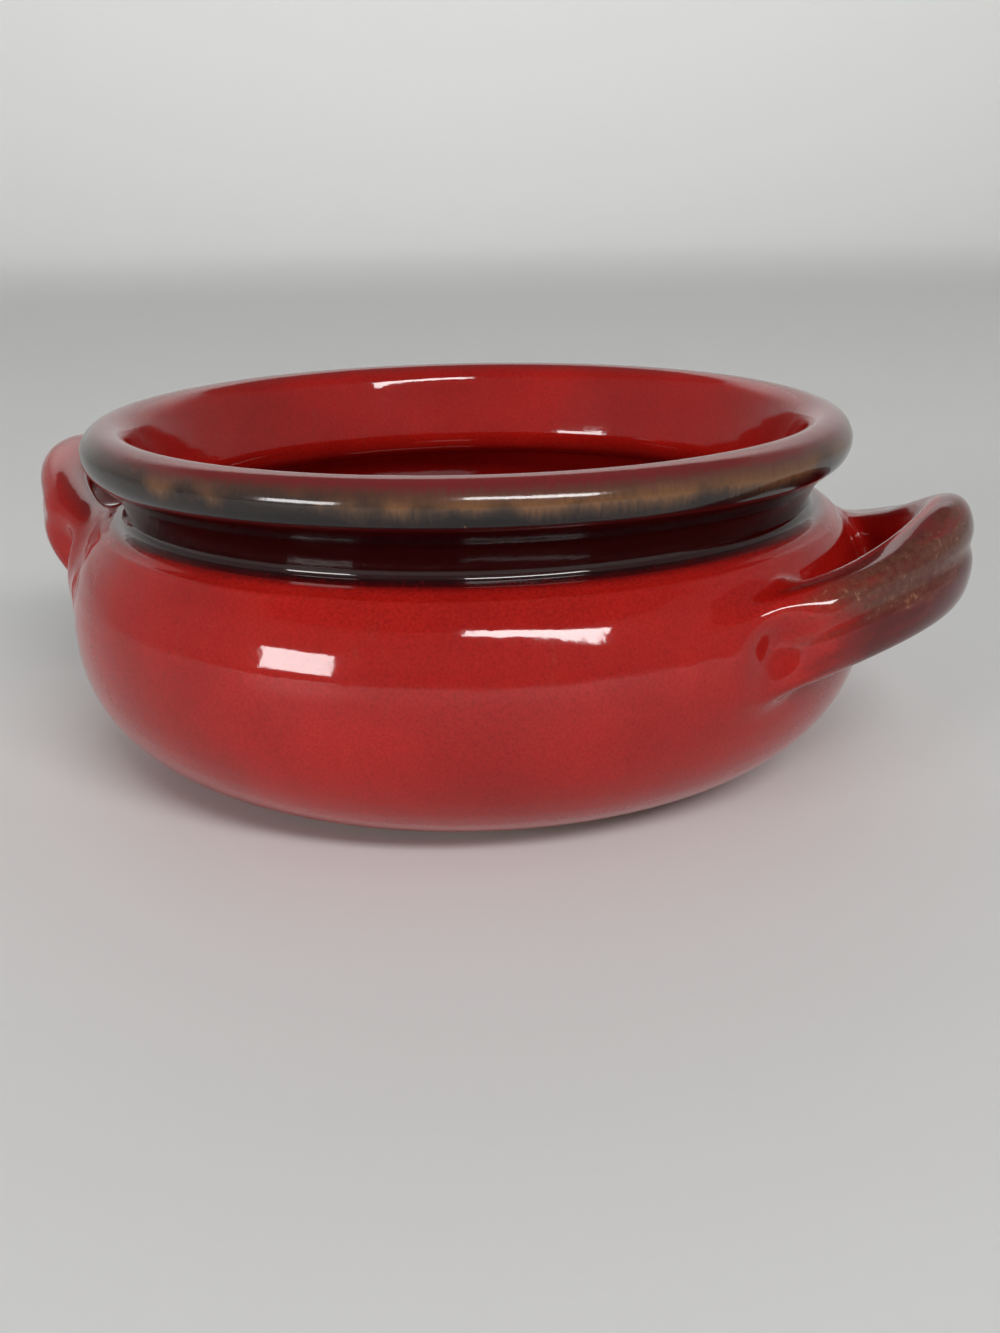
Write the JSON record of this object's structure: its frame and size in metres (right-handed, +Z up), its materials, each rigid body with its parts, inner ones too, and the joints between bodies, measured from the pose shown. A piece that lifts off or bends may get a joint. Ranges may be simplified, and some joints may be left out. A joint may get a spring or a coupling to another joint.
{
  "type": "casserole dish",
  "caption": "Round-bellied terracotta casserole with a rolled rim over a drawn-in neck and pulled strap handles on its shoulder, glazed inside and out for baking and serving.",
  "frame": {"origin": "centre of the flat foot, on the surface that the dish stands on", "axes": "+Z up along the axis that the bowl was thrown on, +X through the right handle's grip, +Y towards the back"},
  "size_m": [0.2652, 0.2118, 0.091],
  "materials": {
    "terracotta": "matt bare fired clay",
    "red_glaze": "glossy deep red, finely speckled",
    "dark_glaze": "glossy dark brown, breaking to bronze",
    "slip": "matt fired slip"
  },
  "bodies": {
    "root": {"body": "terracotta", "inside_glaze": "red_glaze", "rim_glaze": "dark_glaze", "outside_glaze": "red_glaze", "left_handle": "terracotta", "right_handle": "terracotta", "left_handle_glaze": "red_glaze", "right_handle_glaze": "red_glaze", "left_front_slip": "slip", "left_back_slip": "slip", "right_front_slip": "slip", "right_back_slip": "slip"}
  },
  "joints": []
}
